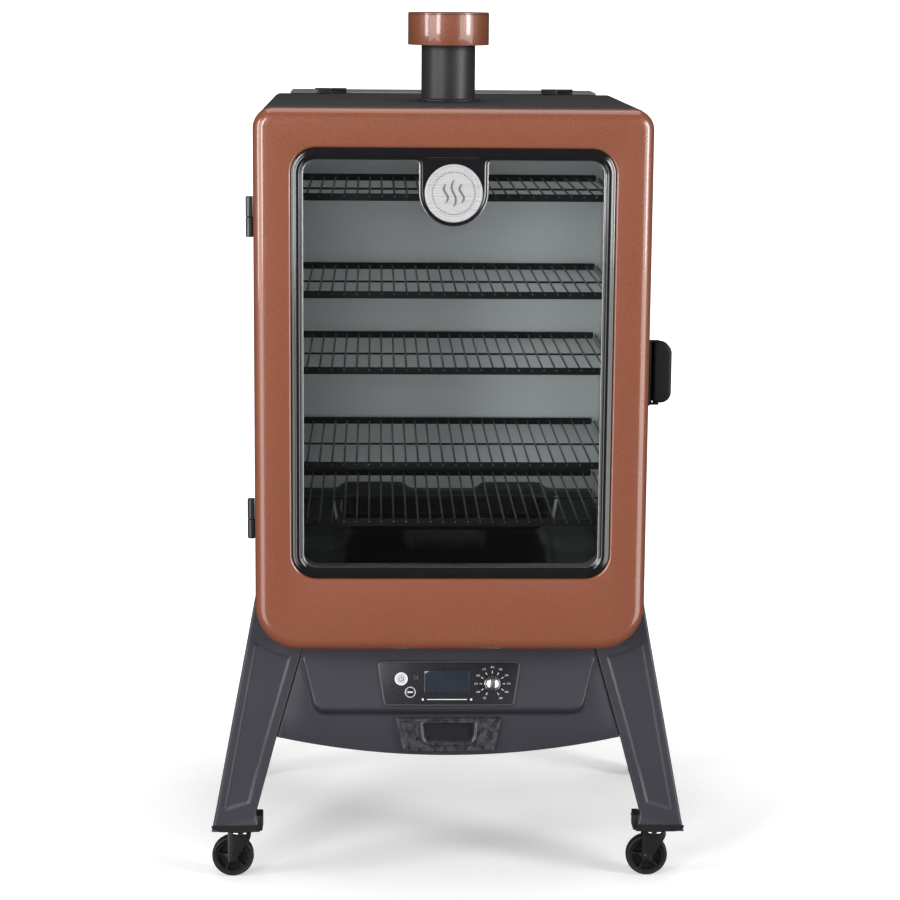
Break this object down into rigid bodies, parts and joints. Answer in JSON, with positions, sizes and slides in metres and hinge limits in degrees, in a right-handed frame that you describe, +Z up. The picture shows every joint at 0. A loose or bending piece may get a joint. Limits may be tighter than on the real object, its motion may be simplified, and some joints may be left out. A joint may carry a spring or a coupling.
{
  "type": "electric cabinet smoker",
  "caption": "Upright cabinet smoker with windowed door, sliding racks, chimney with screw cap, rear pellet hopper, leaning control pod, grease drawer and splayed legs on casters.",
  "frame": {"origin": "on the floor under the middle of the cabinet body", "axes": "+Z up, door faces -Y, +X to the right as seen facing the door"},
  "size_m": [0.788, 0.782, 1.43],
  "materials": {
    "copper_paint": "semi-gloss hammered copper paint",
    "charcoal_paint": "satin fine-textured powder coat",
    "black_enamel": "semi-gloss enamel",
    "gloss_black": "gloss",
    "brushed_steel": "brushed",
    "chrome": "polished",
    "smoked_glass": "clear, lightly smoked",
    "seal_rope": "woven glass-fibre rope",
    "display_window": "dark glossy window",
    "white_plastic": "satin white",
    "black_plastic": "satin moulded"
  },
  "bodies": {
    "cabinet": {"outer_shell": "charcoal_paint", "chimney_pipe": "charcoal_paint", "leg_front_left": "charcoal_paint", "leg_front_right": "charcoal_paint", "leg_rear_left": "charcoal_paint", "leg_rear_right": "charcoal_paint", "apron": "charcoal_paint", "rear_brace": "charcoal_paint", "hopper_bin": "charcoal_paint", "auger_tube": "charcoal_paint", "auger_motor": "charcoal_paint", "blower_housing": "charcoal_paint", "inner_liner": "brushed_steel", "latch_keeper": "brushed_steel", "drawer_sleeve": "brushed_steel", "burn_pot": "brushed_steel", "igniter": "brushed_steel", "heat_baffle": "black_enamel", "water_pan": "black_enamel", "hinge_bracket_upper": "black_enamel", "hinge_bracket_lower": "black_enamel", "lid_hinge_left": "black_enamel", "lid_hinge_right": "black_enamel", "display_window": "display_window", "faceplate": "black_plastic", "controller_housing": "black_plastic"},
    "door": {"door_skin": "copper_paint", "door_liner": "brushed_steel", "window_bezel": "gloss_black", "window_glass": "smoked_glass", "badge": "brushed_steel", "door_seal": "seal_rope", "hinge_barrel_upper": "black_enamel", "hinge_barrel_lower": "black_enamel", "latch_bracket": "black_enamel"},
    "latch_handle": {"latch_handle": "black_plastic"},
    "hopper_lid": {"hopper_lid": "charcoal_paint"},
    "grease_drawer": {"grease_tray": "brushed_steel", "drawer_front": "gloss_black"},
    "power_button": {"power_button": "white_plastic"},
    "prime_button": {"prime_button": "black_plastic"},
    "program_button": {"program_button": "black_plastic"},
    "temperature_dial": {"temperature_dial": "chrome"},
    "cap_nut": {"cap_nut": "chrome"},
    "chimney_cap": {"chimney_cap": "copper_paint"},
    "auger_screw": {"auger_screw": "brushed_steel"},
    "blower_wheel": {"blower_wheel": "black_plastic"},
    "rack_1": {"rack_1": "black_enamel"},
    "rack_2": {"rack_2": "black_enamel"},
    "rack_3": {"rack_3": "black_enamel"},
    "rack_4": {"rack_4": "black_enamel"},
    "rack_5": {"rack_5": "black_enamel"},
    "caster_front_left": {"caster_fork_front_left": "black_enamel"},
    "wheel_front_left": {"caster_wheel_front_left": "black_plastic"},
    "caster_front_right": {"caster_fork_front_right": "black_enamel"},
    "wheel_front_right": {"caster_wheel_front_right": "black_plastic"},
    "caster_rear_left": {"caster_fork_rear_left": "black_enamel"},
    "wheel_rear_left": {"caster_wheel_rear_left": "black_plastic"},
    "caster_rear_right": {"caster_fork_rear_right": "black_enamel"},
    "wheel_rear_right": {"caster_wheel_rear_right": "black_plastic"}
  },
  "joints": [
    {"name": "door_hinge", "type": "hinge", "parent": "cabinet", "child": "door", "pos_m": [-0.325, -0.28, 0.86], "axis": [0, 0, -1], "range_deg": [0, 110]},
    {"name": "latch_pivot", "type": "hinge", "parent": "door", "child": "latch_handle", "pos_m": [0.33, -0.3, 0.86], "axis": [0, 0, -1], "range_deg": [0, 25]},
    {"name": "hopper_lid_hinge", "type": "hinge", "parent": "cabinet", "child": "hopper_lid", "pos_m": [0, 0.2815, 1.2885], "axis": [1, 0, 0], "range_deg": [0, 95]},
    {"name": "drawer_slide", "type": "slide", "parent": "cabinet", "child": "grease_drawer", "axis": [0, -1, 0], "range_m": [0, 0.3]},
    {"name": "power_press", "type": "slide", "parent": "cabinet", "child": "power_button", "axis": [0, 0.9578, -0.2873], "range_m": [0, 0.0015]},
    {"name": "prime_press", "type": "slide", "parent": "cabinet", "child": "prime_button", "axis": [0, 0.9578, -0.2873], "range_m": [0, 0.0015]},
    {"name": "program_press", "type": "slide", "parent": "cabinet", "child": "program_button", "axis": [0, 0.9578, -0.2873], "range_m": [0, 0.001]},
    {"name": "dial_turn", "type": "hinge", "parent": "cabinet", "child": "temperature_dial", "pos_m": [0.0717, -0.29367, 0.3375], "axis": [0, 0.9578, -0.2873], "range_deg": [0, 300]},
    {"name": "cap_lift", "type": "slide", "parent": "cabinet", "child": "cap_nut", "axis": [0, 0, 1], "range_m": [0, 0.015]},
    {"name": "cap_turn", "type": "hinge", "parent": "cap_nut", "child": "chimney_cap", "pos_m": [0, 0.02, 1.4], "axis": [0, 0, 1], "range_deg": [0, 3600]},
    {"name": "auger_spin", "type": "hinge", "parent": "cabinet", "child": "auger_screw", "pos_m": [0, 0.066, 0.47], "axis": [0, 1, 0], "continuous": true},
    {"name": "blower_spin", "type": "hinge", "parent": "cabinet", "child": "blower_wheel", "pos_m": [0, 0.15, 0.345], "axis": [0, 1, 0], "continuous": true},
    {"name": "rack_1_slide", "type": "slide", "parent": "cabinet", "child": "rack_1", "axis": [0, -1, 0], "range_m": [0, 0.035]},
    {"name": "rack_2_slide", "type": "slide", "parent": "cabinet", "child": "rack_2", "axis": [0, -1, 0], "range_m": [0, 0.035]},
    {"name": "rack_3_slide", "type": "slide", "parent": "cabinet", "child": "rack_3", "axis": [0, -1, 0], "range_m": [0, 0.035]},
    {"name": "rack_4_slide", "type": "slide", "parent": "cabinet", "child": "rack_4", "axis": [0, -1, 0], "range_m": [0, 0.035]},
    {"name": "rack_5_slide", "type": "slide", "parent": "cabinet", "child": "rack_5", "axis": [0, -1, 0], "range_m": [0, 0.035]},
    {"name": "swivel_front_left", "type": "hinge", "parent": "cabinet", "child": "caster_front_left", "pos_m": [-0.348, -0.272, 0.08], "axis": [0, 0, 1], "continuous": true},
    {"name": "wheel_spin_front_left", "type": "hinge", "parent": "caster_front_left", "child": "wheel_front_left", "pos_m": [-0.36, -0.272, 0.035], "axis": [0, -1, 0], "continuous": true},
    {"name": "swivel_front_right", "type": "hinge", "parent": "cabinet", "child": "caster_front_right", "pos_m": [0.348, -0.272, 0.08], "axis": [0, 0, 1], "continuous": true},
    {"name": "wheel_spin_front_right", "type": "hinge", "parent": "caster_front_right", "child": "wheel_front_right", "pos_m": [0.336, -0.272, 0.035], "axis": [0, -1, 0], "continuous": true},
    {"name": "swivel_rear_left", "type": "hinge", "parent": "cabinet", "child": "caster_rear_left", "pos_m": [-0.372, 0.272, 0.08], "axis": [0, 0, 1], "continuous": true},
    {"name": "wheel_spin_rear_left", "type": "hinge", "parent": "caster_rear_left", "child": "wheel_rear_left", "pos_m": [-0.372, 0.284, 0.035], "axis": [-1, 0, 0], "continuous": true},
    {"name": "swivel_rear_right", "type": "hinge", "parent": "cabinet", "child": "caster_rear_right", "pos_m": [0.372, 0.272, 0.08], "axis": [0, 0, 1], "continuous": true},
    {"name": "wheel_spin_rear_right", "type": "hinge", "parent": "caster_rear_right", "child": "wheel_rear_right", "pos_m": [0.372, 0.284, 0.035], "axis": [-1, 0, 0], "continuous": true}
  ],
  "couplings": [
    {"joint": "cap_lift", "follows": "cap_turn", "m_per_rad": 0.00023873}
  ]
}
